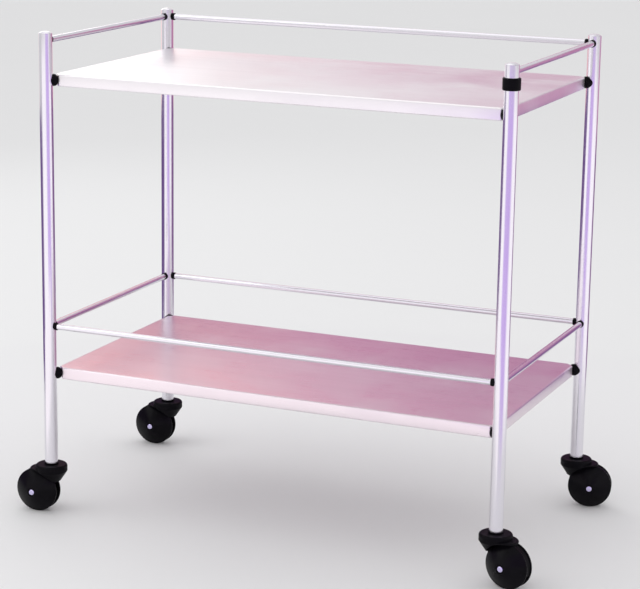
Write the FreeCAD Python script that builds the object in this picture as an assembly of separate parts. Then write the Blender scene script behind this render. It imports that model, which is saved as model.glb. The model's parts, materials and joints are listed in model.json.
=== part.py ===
import FreeCAD
import Part
import math
import os

from FreeCAD import Vector

# Frame: millimetres, origin on the floor midway between the four posts,
# X along the length of the trolley, Y towards its back, Z up.

# Posts
POST_SPACING_X = 800.0
POST_SPACING_Y = 430.0
POST_DIAMETER = 22.2
POST_WALL = 1.2
POST_LENGTH = 732.0
CAP_DOME_HEIGHT = 3.0
CAP_PLUG_DEPTH = 8.0
CAP_PLUG_WALL = 2.0

# Shelves
LOWER_SHELF_RISE = 157.0
SHEET = 1.2
SKIRT_HEIGHT = 20.0
SKIRT_BEND_RADIUS = 3.0
RETURN_LIP = 12.0
SHELF_SIDE_INSET = 8.5
SPACER_LENGTH = 8.0
SPACER_DIAMETER = 20.0
SPACER_ROUND = 6.0

# Stiffening channel under each shelf
CHANNEL_WIDTH = 60.0
CHANNEL_DEPTH = 14.0
CHANNEL_FLANGE = 14.0
CHANNEL_END_GAP = 40.0

# Corner fixings
SCREW_DIAMETER = 6.0
SCREW_HEAD_DIAMETER = 10.0
SCREW_HEAD_HEIGHT = 3.2
HEX_RECESS = 4.0
HEX_RECESS_DEPTH = 2.0
WASHER_DIAMETER = 12.0
WASHER_THICKNESS = 1.2
INSERT_BARREL_DIAMETER = 9.0
INSERT_FLANGE_DIAMETER = 13.0
INSERT_FLANGE_THICKNESS = 1.0
INSERT_BARREL_LENGTH = 7.0
FIXING_CLEARANCE = 0.05

# Guard rails
UPPER_RAIL_BELOW_POST_TOP = 12.0
UPPER_RAIL_ABOVE_SHELF = 65.5
LOWER_RAIL_ABOVE_SHELF = 83.0
RAIL_DIAMETER = 10.0
RAIL_WALL = 1.0
FERRULE_DIAMETER = 12.4
FERRULE_LENGTH = 5.0
FERRULE_GRIP = 3.5
SPIGOT_DIAMETER = 6.0
SPIGOT_REACH = 2.5
EDGE_ROUND = 0.8

# Ring on the front right post
RING_WALL = 3.0
RING_HEIGHT = 19.0
RING_BELOW_RAIL = 17.0
RING_ROUND = 1.8

# Castors
WHEEL_DIAMETER = 75.0
WHEEL_TRAIL = 25.4
WHEEL_SHELL = 3.0
WHEEL_TREAD_WIDTH = 2.8
WHEEL_RIBS = 6
WHEEL_RIB_THICKNESS = 1.6
DOME_RISE = 17.8
DOME_SHOULDER_DROP = 10.0
DOME_SHOULDER_REACH = 7.5
DOME_WALL_SHIFT = 2.1
HUB_RADIUS = 8.0
HUB_BORE_CLEARANCE = 0.05
HUB_FACE_RECESS = 1.2
HOUSING_WIDTH = 10.0
HOUSING_WALL = 2.4
HOOD_DROP = 1.5
HOOD_FRONT_ANGLE = 128.0
HOOD_BACK_ANGLE = -18.0
WHEEL_SIDE_GAP = 0.4
AXLE_DIAMETER = 8.0
AXLE_HEAD_DIAMETER = 10.0
AXLE_HEAD_HEIGHT = 2.0
AXLE_HEAD_ROUND = 1.8
HEAD_DIAMETER = 54.0
HEAD_HEIGHT = 12.0
HEAD_RISE = 10.2
HEAD_ROUND = 4.0
NECK_RADIUS = 15.6
NECK_DROP = 17.0
COVER_DIAMETER = 48.0
COVER_HEIGHT = 9.5
COVER_SETBACK = 14.7
COVER_STEP = 7.8
COVER_ROUND = 3.0
COVER_WHEEL_GAP = 1.0
BOSS_RADIUS = 9.0
SWIVEL_GAP = 0.4
STEM_DIAMETER = 11.0
STEM_SEAT_DEPTH = 11.5
STEM_REACH = 36.0
STEM_CLEARANCE = 0.05
STEM_RING_DEPTH = 0.7
STEM_RING_HEIGHT = 1.6
STEM_RING_DROP = 6.0
SOCKET_FLANGE_THICKNESS = 2.0
SOCKET_FLANGE_LIP = 1.0
SOCKET_TOP_WALL = 4.0
SOCKET_CLEARANCE = 0.05

# Worked out from the sizes above
POST_RADIUS = POST_DIAMETER / 2
POST_BORE_RADIUS = POST_RADIUS - POST_WALL
WHEEL_RADIUS = WHEEL_DIAMETER / 2
AXLE_HEIGHT = WHEEL_RADIUS
HEAD_TOP = WHEEL_DIAMETER + HEAD_RISE
HEAD_BOTTOM = HEAD_TOP - HEAD_HEIGHT
POST_BOTTOM = HEAD_TOP + SWIVEL_GAP + SOCKET_FLANGE_THICKNESS
POST_TOP = POST_BOTTOM + POST_LENGTH
UPPER_RAIL_RISE = POST_LENGTH - UPPER_RAIL_BELOW_POST_TOP
UPPER_SHELF_RISE = UPPER_RAIL_RISE - UPPER_RAIL_ABOVE_SHELF
LOWER_RAIL_RISE = LOWER_SHELF_RISE + LOWER_RAIL_ABOVE_SHELF
CORNER_REACH = POST_RADIUS + SPACER_LENGTH
WHEEL_INNER_FACE = HOUSING_WIDTH / 2 + WHEEL_SIDE_GAP
WHEEL_OUTER_FACE = WHEEL_INNER_FACE + WHEEL_TREAD_WIDTH + DOME_RISE

# How near two places must be to count as one
CLOSE = 0.001

UP = Vector(0, 0, 1)
ALONG_Y = Vector(0, 1, 0)

POSTS = {
    "front_left": (-1, -1),
    "front_right": (1, -1),
    "back_left": (-1, 1),
    "back_right": (1, 1),
}
# Angle in degrees at which each castor stands, measured from straight outwards
PARKED_ANGLES = {
    "front_left": 2.0,
    "front_right": -13.0,
    "back_left": 2.0,
    "back_right": 13.0,
}
UPPER_SIDES = ("left", "back", "right")
LOWER_SIDES = ("left", "back", "right", "front")


def post_axis(corner, height):
    """Point on the axis of the named post at a height above the floor."""
    side_x, side_y = POSTS[corner]
    return Vector(side_x * POST_SPACING_X / 2, side_y * POST_SPACING_Y / 2, height)


def inward(corner):
    """Unit vector from a post towards the shelf corner it carries."""
    side_x, side_y = POSTS[corner]
    return Vector(-side_x, -side_y, 0).normalize()


def rod(radius, start, end):
    """Solid cylinder between two points."""
    return Part.makeCylinder(radius, (end - start).Length, start, end - start)


def tube(outer_radius, bore_radius, start, end):
    """Hollow cylinder between two points."""
    return rod(outer_radius, start, end).cut(rod(bore_radius, start, end))


def edges_at_height(solid, height, radius=None):
    """Edges that lie flat at one height, circles of one radius if it is given."""
    found = []
    for edge in solid.Edges:
        box = edge.BoundBox
        flat = abs(box.ZMin - height) < CLOSE and abs(box.ZMax - height) < CLOSE
        if not flat:
            continue
        if radius is not None and abs(box.XLength / 2 - radius) > CLOSE:
            continue
        found.append(edge)
    return found


def rim_at(solid, centre):
    """Circular edge of a cylinder whose middle is at a point."""
    return [edge for edge in solid.Edges if (edge.CenterOfMass - centre).Length < CLOSE]


def export(name, shape):
    """Write one sub-part to its own STEP file."""
    shape.exportStep(os.path.join("parts", name + ".step"))


def group(solids):
    """Several separate solids that share one node."""
    return Part.makeCompound(solids)


# Shelves

def shelf_outline(offset, height):
    """Closed outline of a shelf with chamfered corners, moved in by an offset."""
    half_x = POST_SPACING_X / 2 - SHELF_SIDE_INSET - offset
    half_y = POST_SPACING_Y / 2 - SHELF_SIDE_INSET - offset
    diagonal = (POST_SPACING_X + POST_SPACING_Y) / 2 - (CORNER_REACH + offset) * math.sqrt(2)
    points = [
        Vector(half_x, diagonal - half_x, height),
        Vector(diagonal - half_y, half_y, height),
        Vector(half_y - diagonal, half_y, height),
        Vector(-half_x, diagonal - half_x, height),
        Vector(-half_x, half_x - diagonal, height),
        Vector(half_y - diagonal, -half_y, height),
        Vector(diagonal - half_y, -half_y, height),
        Vector(half_x, half_x - diagonal, height),
    ]
    return Part.Face(Part.makePolygon(points + [points[0]]))


def rounded_tray_block(offset, bottom, top, bend):
    """Solid block with the shelf outline and a bend radius along its top edges."""
    block = shelf_outline(offset, bottom).extrude(Vector(0, 0, top - bottom))
    return block.makeFillet(bend, edges_at_height(block, top))


def shelf(rise):
    """Pressed shelf: flat top, bent skirt all round, return lip, holes in the corner flanges."""
    middle = POST_BOTTOM + rise
    bottom = middle - SKIRT_HEIGHT / 2
    top = middle + SKIRT_HEIGHT / 2
    inner_bend = SKIRT_BEND_RADIUS - SHEET
    outer = rounded_tray_block(0, bottom, top, SKIRT_BEND_RADIUS)
    inner = rounded_tray_block(SHEET, bottom + SHEET, top - SHEET, inner_bend)
    mouth = shelf_outline(RETURN_LIP, bottom).extrude(Vector(0, 0, SHEET * 2))
    sheet = outer.cut(inner).cut(mouth)
    for corner in POSTS:
        axis = post_axis(corner, middle)
        reach = CORNER_REACH + SHEET * 2
        hole = rod(SCREW_DIAMETER / 2 + FIXING_CLEARANCE, axis, axis + inward(corner) * reach)
        sheet = sheet.cut(hole)
    return sheet


def channel(rise):
    """Top-hat channel spot welded under a shelf, along its length."""
    top = POST_BOTTOM + rise + SKIRT_HEIGHT / 2 - SHEET
    half = CHANNEL_WIDTH / 2
    outer_half = half + CHANNEL_FLANGE
    profile = [
        (-outer_half, 0), (-half, 0), (-half, -CHANNEL_DEPTH + SHEET),
        (half, -CHANNEL_DEPTH + SHEET), (half, 0), (outer_half, 0),
        (outer_half, -SHEET), (half + SHEET, -SHEET), (half + SHEET, -CHANNEL_DEPTH),
        (-half - SHEET, -CHANNEL_DEPTH), (-half - SHEET, -SHEET), (-outer_half, -SHEET),
    ]
    start = -POST_SPACING_X / 2 + SHELF_SIDE_INSET + CHANNEL_END_GAP
    points = [Vector(start, y, top + z) for y, z in profile]
    face = Part.Face(Part.makePolygon(points + [points[0]]))
    return face.extrude(Vector(-2 * start, 0, 0))


# Posts and what is fitted in their walls

def rail_ends(side):
    """The two posts that a rail joins."""
    return {
        "left": ("front_left", "back_left"),
        "right": ("front_right", "back_right"),
        "front": ("front_left", "front_right"),
        "back": ("back_left", "back_right"),
    }[side]


def rails_at(corner):
    """Height above the post foot and direction of each rail that meets a post."""
    found = []
    for rise, sides in ((UPPER_RAIL_RISE, UPPER_SIDES), (LOWER_RAIL_RISE, LOWER_SIDES)):
        for side in sides:
            ends = rail_ends(side)
            if corner in ends:
                other = ends[0] if corner == ends[1] else ends[1]
                way = (post_axis(other, 0) - post_axis(corner, 0)).normalize()
                found.append((rise, way))
    return found


def post(corner):
    """Post tube with the holes for its rail spigots and its threaded inserts."""
    body = tube(POST_RADIUS, POST_BORE_RADIUS, post_axis(corner, POST_BOTTOM), post_axis(corner, POST_TOP))
    for rise, way in rails_at(corner):
        start = post_axis(corner, POST_BOTTOM + rise)
        body = body.cut(rod(SPIGOT_DIAMETER / 2 + FIXING_CLEARANCE, start, start + way * POST_DIAMETER))
    for rise in (LOWER_SHELF_RISE, UPPER_SHELF_RISE):
        start = post_axis(corner, POST_BOTTOM + rise)
        reach = inward(corner) * POST_DIAMETER
        body = body.cut(rod(INSERT_BARREL_DIAMETER / 2 + FIXING_CLEARANCE, start, start + reach))
    return body


def post_cap(corner):
    """Domed cap with a hollow plug that closes the top of a post."""
    dome_radius = (POST_RADIUS ** 2 + CAP_DOME_HEIGHT ** 2) / (2 * CAP_DOME_HEIGHT)
    middle_angle = math.asin(POST_RADIUS / dome_radius) / 2
    centre = CAP_DOME_HEIGHT - dome_radius
    middle = Vector(dome_radius * math.sin(middle_angle), 0, centre + dome_radius * math.cos(middle_angle))
    rim = Vector(POST_RADIUS, 0, 0)
    crown = Vector(0, 0, CAP_DOME_HEIGHT)
    face = Part.Face(Part.Wire([
        Part.makeLine(Vector(0, 0, 0), rim),
        Part.Arc(rim, middle, crown).toShape(),
        Part.makeLine(crown, Vector(0, 0, 0)),
    ]))
    dome = face.revolve(Vector(0, 0, 0), UP, 360)
    plug_radius = POST_BORE_RADIUS - FIXING_CLEARANCE
    plug = tube(plug_radius, plug_radius - CAP_PLUG_WALL, Vector(0, 0, -CAP_PLUG_DEPTH), Vector(0, 0, 0))
    cap = dome.fuse(plug).removeSplitter()
    cap.translate(post_axis(corner, POST_TOP))
    return cap


def post_ring():
    """Plain ring round the front right post, its edges rounded."""
    bottom = POST_BOTTOM + UPPER_RAIL_RISE - RING_BELOW_RAIL - RING_HEIGHT / 2
    start = post_axis("front_right", bottom)
    outer_radius = POST_RADIUS + RING_WALL
    ring = tube(outer_radius, POST_RADIUS + FIXING_CLEARANCE, start, start + UP * RING_HEIGHT)
    rims = edges_at_height(ring, bottom, outer_radius)
    rims += edges_at_height(ring, bottom + RING_HEIGHT, outer_radius)
    return ring.makeFillet(RING_ROUND, rims)


# Guard rails

def rail(side, rise):
    """Thin tube between two posts, its ends held in the ferrules."""
    first, second = rail_ends(side)
    start = post_axis(first, POST_BOTTOM + rise)
    end = post_axis(second, POST_BOTTOM + rise)
    way = (end - start).normalize()
    hold = POST_RADIUS + FERRULE_LENGTH - FERRULE_GRIP
    return tube(RAIL_DIAMETER / 2, RAIL_DIAMETER / 2 - RAIL_WALL, start + way * hold, end - way * hold)


def ferrule(corner, rise, way):
    """Rail ferrule: a collar saddled to the post, a socket for the rail, a spigot into the post."""
    axis = post_axis(corner, POST_BOTTOM + rise)
    mouth = axis + way * (POST_RADIUS + FERRULE_LENGTH)
    collar = rod(FERRULE_DIAMETER / 2, axis, mouth)
    collar = collar.makeFillet(EDGE_ROUND, rim_at(collar, mouth))
    post_body = rod(POST_RADIUS, axis - UP * FERRULE_DIAMETER, axis + UP * FERRULE_DIAMETER)
    collar = collar.cut(post_body)
    seat = rod(RAIL_DIAMETER / 2 + FIXING_CLEARANCE, mouth - way * FERRULE_GRIP, mouth)
    spigot_start = axis + way * (POST_BORE_RADIUS - SPIGOT_REACH)
    spigot = rod(SPIGOT_DIAMETER / 2, spigot_start, axis + way * (POST_RADIUS + EDGE_ROUND))
    return collar.cut(seat).fuse(spigot).removeSplitter()


def ferrules(sides, rise):
    """Both ferrules of every rail at one height."""
    solids = []
    for side in sides:
        first, second = rail_ends(side)
        way = (post_axis(second, 0) - post_axis(first, 0)).normalize()
        solids.append(ferrule(first, rise, way))
        solids.append(ferrule(second, rise, way * -1))
    return group(solids)


# Fixings between posts and shelf corners

def spacer(corner, rise):
    """Spacer saddled to the post, rounded towards the shelf corner, recessed for the insert flange."""
    axis = post_axis(corner, POST_BOTTOM + rise)
    way = inward(corner)
    flat = axis + way * CORNER_REACH
    body = rod(SPACER_DIAMETER / 2, axis, flat)
    body = body.makeFillet(SPACER_ROUND, rim_at(body, flat))
    body = body.cut(rod(POST_RADIUS, axis - UP * SPACER_DIAMETER, axis + UP * SPACER_DIAMETER))
    body = body.cut(rod(SCREW_DIAMETER / 2 + FIXING_CLEARANCE, axis, flat))
    recess = axis + way * (POST_RADIUS + INSERT_FLANGE_THICKNESS + FIXING_CLEARANCE)
    return body.cut(rod(INSERT_FLANGE_DIAMETER / 2 + FIXING_CLEARANCE, axis, recess))


def threaded_insert(corner, rise):
    """Threaded insert in the post wall, its thread left plain."""
    axis = post_axis(corner, POST_BOTTOM + rise)
    way = inward(corner)
    face = axis + way * (POST_RADIUS + INSERT_FLANGE_THICKNESS)
    flange = rod(INSERT_FLANGE_DIAMETER / 2, axis, face)
    flange = flange.cut(rod(POST_RADIUS, axis - UP * SPACER_DIAMETER, axis + UP * SPACER_DIAMETER))
    barrel = rod(INSERT_BARREL_DIAMETER / 2, face - way * INSERT_BARREL_LENGTH, face)
    bore = rod(SCREW_DIAMETER / 2 + FIXING_CLEARANCE, axis, face)
    return flange.fuse(barrel).cut(bore).removeSplitter()


def corner_screw(corner, rise):
    """Domed socket screw from inside the skirt through the corner flange into the insert."""
    axis = post_axis(corner, POST_BOTTOM + rise)
    way = inward(corner)
    tip = axis + way * (POST_RADIUS + INSERT_FLANGE_THICKNESS - INSERT_BARREL_LENGTH)
    seat = axis + way * (CORNER_REACH + SHEET + WASHER_THICKNESS)
    top = seat + way * SCREW_HEAD_HEIGHT
    head = rod(SCREW_HEAD_DIAMETER / 2, seat, top)
    head = head.makeFillet(SCREW_HEAD_HEIGHT / 2, rim_at(head, top))
    recess = rod(HEX_RECESS / 2, top - way * HEX_RECESS_DEPTH, top)
    return head.fuse(rod(SCREW_DIAMETER / 2, tip, seat)).cut(recess).removeSplitter()


def corner_washer(corner, rise):
    """Plain washer under the head of a corner screw."""
    axis = post_axis(corner, POST_BOTTOM + rise)
    way = inward(corner)
    start = axis + way * (CORNER_REACH + SHEET)
    bore = SCREW_DIAMETER / 2 + FIXING_CLEARANCE
    return tube(WASHER_DIAMETER / 2, bore, start, start + way * WASHER_THICKNESS)


# Castors, drawn about the swivel axis with the wheels trailing towards -X

def wheel_profile():
    """Half section of a domed wheel shell: X is the radius, Y runs out from the castor's middle."""
    inner = WHEEL_INNER_FACE
    shoulder = inner + WHEEL_TREAD_WIDTH
    face = WHEEL_OUTER_FACE
    flank = Vector(WHEEL_RADIUS - DOME_SHOULDER_DROP, shoulder + DOME_SHOULDER_REACH, 0)
    wall_flank = flank - Vector(DOME_WALL_SHIFT, DOME_WALL_SHIFT, 0)
    rim = Vector(WHEEL_RADIUS, shoulder, 0)
    hub = Vector(HUB_RADIUS, face, 0)
    hub_wall = Vector(HUB_RADIUS, face - WHEEL_SHELL, 0)
    rim_wall = Vector(WHEEL_RADIUS - WHEEL_SHELL, shoulder, 0)
    bore = AXLE_DIAMETER / 2 + HUB_BORE_CLEARANCE
    recess = Vector(HUB_RADIUS, face - HUB_FACE_RECESS, 0)
    return Part.Face(Part.Wire([
        Part.makeLine(Vector(WHEEL_RADIUS, inner, 0), rim),
        Part.Arc(rim, flank, hub).toShape(),
        Part.makeLine(hub, recess),
        Part.makeLine(recess, Vector(bore, recess.y, 0)),
        Part.makeLine(Vector(bore, recess.y, 0), Vector(bore, inner, 0)),
        Part.makeLine(Vector(bore, inner, 0), Vector(HUB_RADIUS, inner, 0)),
        Part.makeLine(Vector(HUB_RADIUS, inner, 0), hub_wall),
        Part.Arc(hub_wall, wall_flank, rim_wall).toShape(),
        Part.makeLine(rim_wall, Vector(WHEEL_RADIUS - WHEEL_SHELL, inner, 0)),
        Part.makeLine(Vector(WHEEL_RADIUS - WHEEL_SHELL, inner, 0), Vector(WHEEL_RADIUS, inner, 0)),
    ]))


def wheel():
    """Domed wheel about the Y axis: shell, hub tube and radial ribs inside."""
    body = wheel_profile().revolve(Vector(0, 0, 0), ALONG_Y, 360)
    rib_length = WHEEL_RADIUS - WHEEL_SHELL - HUB_RADIUS + SHEET
    rib_depth = WHEEL_TREAD_WIDTH
    for number in range(WHEEL_RIBS):
        start = Vector(HUB_RADIUS - SHEET / 2, WHEEL_INNER_FACE + SHEET, -WHEEL_RIB_THICKNESS / 2)
        rib = Part.makeBox(rib_length, rib_depth, WHEEL_RIB_THICKNESS, start)
        rib.rotate(Vector(0, 0, 0), ALONG_Y, number * 360 / WHEEL_RIBS)
        body = body.fuse(rib)
    return body.removeSplitter()


def hood_sector(radius, width):
    """Pie-shaped slab about the axle that leaves the bottom and front of the wheels open."""
    start = math.radians(HOOD_BACK_ANGLE)
    end = math.radians(HOOD_FRONT_ANGLE)
    middle = (start + end) / 2
    rim = []
    for angle in (start, middle, end):
        rim.append(Vector(-radius * math.cos(angle), -width / 2, radius * math.sin(angle)))
    centre = Vector(0, -width / 2, 0)
    face = Part.Face(Part.Wire([
        Part.makeLine(centre, rim[0]),
        Part.Arc(rim[0], rim[1], rim[2]).toShape(),
        Part.makeLine(rim[2], centre),
    ]))
    return face.extrude(Vector(0, width, 0))


def housing():
    """Moulded castor housing: round head, tapering neck, cover over the wheels, hood and boss between them."""
    head_radius = HEAD_DIAMETER / 2
    axle = Vector(-WHEEL_TRAIL, 0, AXLE_HEIGHT)
    head = Part.makeCylinder(head_radius, HEAD_HEIGHT, Vector(0, 0, HEAD_BOTTOM))
    head = head.makeFillet(HEAD_ROUND, edges_at_height(head, HEAD_TOP, head_radius))
    neck_bottom = HEAD_BOTTOM - NECK_DROP
    neck = Part.makeCone(NECK_RADIUS, head_radius, NECK_DROP, Vector(0, 0, neck_bottom))
    cover_top = HEAD_TOP - COVER_STEP
    cover_start = Vector(-COVER_SETBACK, 0, cover_top - COVER_HEIGHT)
    cover = Part.makeCylinder(COVER_DIAMETER / 2, COVER_HEIGHT, cover_start)
    cover = cover.makeFillet(COVER_ROUND, edges_at_height(cover, cover_top, COVER_DIAMETER / 2))
    hood_radius = WHEEL_RADIUS - HOOD_DROP
    hood = hood_sector(hood_radius, HOUSING_WIDTH)
    pocket_side = (HOUSING_WIDTH - HOUSING_WALL) / 2
    pocket = hood_sector(hood_radius - HOUSING_WALL, pocket_side)
    left_pocket = pocket.translated(Vector(0, (HOUSING_WALL + pocket_side) / 2, 0))
    right_pocket = pocket.translated(Vector(0, -(HOUSING_WALL + pocket_side) / 2, 0))
    hood = hood.cut(left_pocket).cut(right_pocket)
    hood.translate(axle)
    boss = Part.makeCylinder(BOSS_RADIUS, HOUSING_WIDTH, axle - ALONG_Y * HOUSING_WIDTH / 2, ALONG_Y)
    strut_front = Vector(NECK_RADIUS, -HOUSING_WIDTH / 2, neck_bottom)
    strut_points = [
        strut_front,
        Vector(-NECK_RADIUS, -HOUSING_WIDTH / 2, neck_bottom),
        Vector(-WHEEL_TRAIL, -HOUSING_WIDTH / 2, AXLE_HEIGHT - BOSS_RADIUS + SHEET),
    ]
    strut = Part.Face(Part.makePolygon(strut_points + [strut_front])).extrude(Vector(0, HOUSING_WIDTH, 0))
    stem_boss = rod(BOSS_RADIUS, Vector(0, 0, HEAD_TOP - STEM_SEAT_DEPTH - SHEET), Vector(0, 0, HEAD_TOP))
    body = head.fuse([neck, cover, hood, boss, strut, stem_boss]).removeSplitter()
    well_radius = WHEEL_RADIUS + COVER_WHEEL_GAP
    for way in (-1, 1):
        well_start = axle + ALONG_Y * way * HOUSING_WIDTH / 2
        body = body.cut(rod(well_radius, well_start, well_start + ALONG_Y * way * HEAD_DIAMETER))
    axle_bore = AXLE_DIAMETER / 2 + HUB_BORE_CLEARANCE / 2
    body = body.cut(rod(axle_bore, axle - ALONG_Y * HOUSING_WIDTH, axle + ALONG_Y * HOUSING_WIDTH))
    seat = Vector(0, 0, HEAD_TOP - STEM_SEAT_DEPTH)
    return body.cut(rod(STEM_DIAMETER / 2 + HUB_BORE_CLEARANCE / 2, seat, Vector(0, 0, HEAD_TOP)))


def stem():
    """Steel stem seated in the housing, with the snap ring that holds it in the socket."""
    bottom = HEAD_TOP - STEM_SEAT_DEPTH
    top = POST_BOTTOM + STEM_REACH
    shank = rod(STEM_DIAMETER / 2, Vector(0, 0, bottom), Vector(0, 0, top))
    shank = shank.makeChamfer(EDGE_ROUND, edges_at_height(shank, top, STEM_DIAMETER / 2))
    ring_bottom = top - STEM_RING_DROP
    ring_radius = STEM_DIAMETER / 2 + STEM_RING_DEPTH
    ring = rod(ring_radius, Vector(0, 0, ring_bottom), Vector(0, 0, ring_bottom + STEM_RING_HEIGHT))
    return shank.fuse(ring).removeSplitter()


def socket():
    """Plastic socket in the foot of a post, bored for the stem and grooved for its ring."""
    top = POST_BOTTOM + STEM_REACH + SWIVEL_GAP
    barrel = rod(POST_BORE_RADIUS - SOCKET_CLEARANCE, Vector(0, 0, POST_BOTTOM), Vector(0, 0, top + SOCKET_TOP_WALL))
    flange_bottom = POST_BOTTOM - SOCKET_FLANGE_THICKNESS
    flange = rod(POST_RADIUS + SOCKET_FLANGE_LIP, Vector(0, 0, flange_bottom), Vector(0, 0, POST_BOTTOM))
    bore = rod(STEM_DIAMETER / 2 + STEM_CLEARANCE, Vector(0, 0, flange_bottom), Vector(0, 0, top))
    groove_bottom = POST_BOTTOM + STEM_REACH - STEM_RING_DROP - SWIVEL_GAP
    groove_top = groove_bottom + STEM_RING_HEIGHT + SWIVEL_GAP * 2
    groove_radius = STEM_DIAMETER / 2 + STEM_RING_DEPTH + SWIVEL_GAP
    groove = rod(groove_radius, Vector(0, 0, groove_bottom), Vector(0, 0, groove_top))
    return barrel.fuse(flange).cut(bore).cut(groove).removeSplitter()


def axle_pin():
    """Axle with a domed head at each end that keeps the wheels on."""
    head_foot = WHEEL_OUTER_FACE - HUB_FACE_RECESS + WHEEL_SIDE_GAP
    pin = rod(AXLE_DIAMETER / 2, ALONG_Y * -head_foot, ALONG_Y * head_foot)
    for way in (-1, 1):
        tip = ALONG_Y * way * (head_foot + AXLE_HEAD_HEIGHT)
        head = rod(AXLE_HEAD_DIAMETER / 2, ALONG_Y * way * head_foot, tip)
        pin = pin.fuse(head.makeFillet(AXLE_HEAD_ROUND, rim_at(head, tip)))
    pin = pin.removeSplitter()
    pin.translate(Vector(-WHEEL_TRAIL, 0, AXLE_HEIGHT))
    return pin


def place_castor(shape, corner):
    """Turn a castor piece to trail away from the trolley's middle, at its angle, and set it under its post."""
    side_x, side_y = POSTS[corner]
    turn = PARKED_ANGLES[corner]
    if side_x > 0:
        turn += 180
    placed = shape.copy()
    placed.rotate(Vector(0, 0, 0), UP, turn)
    placed.translate(post_axis(corner, 0))
    return placed


def castor_wheel(corner, outer):
    """One of the two wheels, the outer one on the side away from the trolley's middle."""
    side_x, side_y = POSTS[corner]
    placed = wheel()
    turned = -1 if side_x > 0 else 1
    faces_back = (side_y if outer else -side_y) * turned > 0
    if not faces_back:
        placed.rotate(Vector(0, 0, 0), UP, 180)
    placed.translate(Vector(-WHEEL_TRAIL, 0, AXLE_HEIGHT))
    return place_castor(placed, corner)


def build_frame():
    """Posts with their caps, shelves, rails and everything that fastens them."""
    for corner in POSTS:
        export(corner + "_post", post(corner))
        export(corner + "_post_cap", post_cap(corner))
    export("front_right_post_ring", post_ring())
    levels = {"upper": UPPER_SHELF_RISE, "lower": LOWER_SHELF_RISE}
    for level, rise in levels.items():
        export(level + "_shelf", shelf(rise))
        export(level + "_shelf_channel", channel(rise))
        export(level + "_shelf_spacers", group([spacer(corner, rise) for corner in POSTS]))
        export(level + "_shelf_inserts", group([threaded_insert(corner, rise) for corner in POSTS]))
        export(level + "_shelf_screws", group([corner_screw(corner, rise) for corner in POSTS]))
        export(level + "_shelf_washers", group([corner_washer(corner, rise) for corner in POSTS]))
    for side in UPPER_SIDES:
        export("upper_" + side + "_rail", rail(side, UPPER_RAIL_RISE))
    for side in LOWER_SIDES:
        export("lower_" + side + "_rail", rail(side, LOWER_RAIL_RISE))
    export("upper_rail_ferrules", ferrules(UPPER_SIDES, UPPER_RAIL_RISE))
    export("lower_rail_ferrules", ferrules(LOWER_SIDES, LOWER_RAIL_RISE))


def build_castors():
    """Socket, stem, housing, axle and two wheels under each post."""
    pieces = {"socket": socket(), "stem": stem(), "housing": housing(), "axle": axle_pin()}
    for corner in POSTS:
        for name, shape in pieces.items():
            export(corner + "_castor_" + name, place_castor(shape, corner))
        export(corner + "_castor_outer_wheel", castor_wheel(corner, True))
        export(corner + "_castor_inner_wheel", castor_wheel(corner, False))


os.makedirs("parts", exist_ok=True)
build_frame()
build_castors()
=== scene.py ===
import json
import math

import bmesh
import bpy
import numpy as np
from mathutils import Matrix, Vector


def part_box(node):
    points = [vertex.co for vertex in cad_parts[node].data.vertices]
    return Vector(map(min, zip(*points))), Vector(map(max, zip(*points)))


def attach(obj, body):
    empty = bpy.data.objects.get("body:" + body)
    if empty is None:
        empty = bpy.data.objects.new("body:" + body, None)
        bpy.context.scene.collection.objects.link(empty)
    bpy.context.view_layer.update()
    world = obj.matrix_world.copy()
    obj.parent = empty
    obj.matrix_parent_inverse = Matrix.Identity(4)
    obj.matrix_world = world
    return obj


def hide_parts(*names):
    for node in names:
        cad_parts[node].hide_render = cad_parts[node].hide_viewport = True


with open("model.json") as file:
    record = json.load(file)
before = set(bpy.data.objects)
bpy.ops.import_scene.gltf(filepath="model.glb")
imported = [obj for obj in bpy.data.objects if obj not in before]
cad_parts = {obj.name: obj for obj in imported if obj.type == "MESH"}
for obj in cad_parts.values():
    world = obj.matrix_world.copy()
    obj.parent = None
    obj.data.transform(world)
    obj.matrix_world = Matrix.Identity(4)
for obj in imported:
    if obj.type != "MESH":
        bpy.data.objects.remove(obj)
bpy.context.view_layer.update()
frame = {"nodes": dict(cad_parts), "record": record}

bl_info = {
    "name": "Instrument Trolley",
    "version": (1, 0, 0),
    "blender": (4, 5, 0),
    "location": "View3D > Sidebar > Trolley",
    "description": "Dresses the instrument trolley: tubes, shelves, rails, castors and studio stage",
    "category": "Add Mesh",
}

MM = 0.001
WELD_DISTANCE = 1e-7
ROOT_TWO = math.sqrt(2)
CORNERS = ("front_left", "front_right", "back_left", "back_right")
LEVELS = ("upper", "lower")
RAIL_SIDES = {"upper": ("left", "back", "right"), "lower": ("left", "back", "right", "front")}
RAIL_ENDS = {
    "left": ("front_left", "back_left"),
    "right": ("front_right", "back_right"),
    "front": ("front_left", "front_right"),
    "back": ("back_left", "back_right"),
}


# Sizes read from the frame

def node_box(node):
    """Lowest and highest corner of a CAD node as arrays."""
    low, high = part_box(node)
    return np.array(low), np.array(high)


def post_axis(corner):
    """Plan position of a post's axis."""
    low, high = node_box(corner + "_post")
    return (low[:2] + high[:2]) / 2


def rail_height(level):
    """Height of the axis of the guard rails of one level."""
    low, high = node_box(level + "_left_rail")
    return float((low[2] + high[2]) / 2)


def spacer_height(level):
    """Height of the axis of the corner spacers of one level."""
    low, high = node_box(level + "_shelf_spacers")
    return float((low[2] + high[2]) / 2)


def size_of(node, direction):
    """Length of a CAD node along X, Y or Z."""
    low, high = node_box(node)
    return float((high - low)["xyz".index(direction)])


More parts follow.
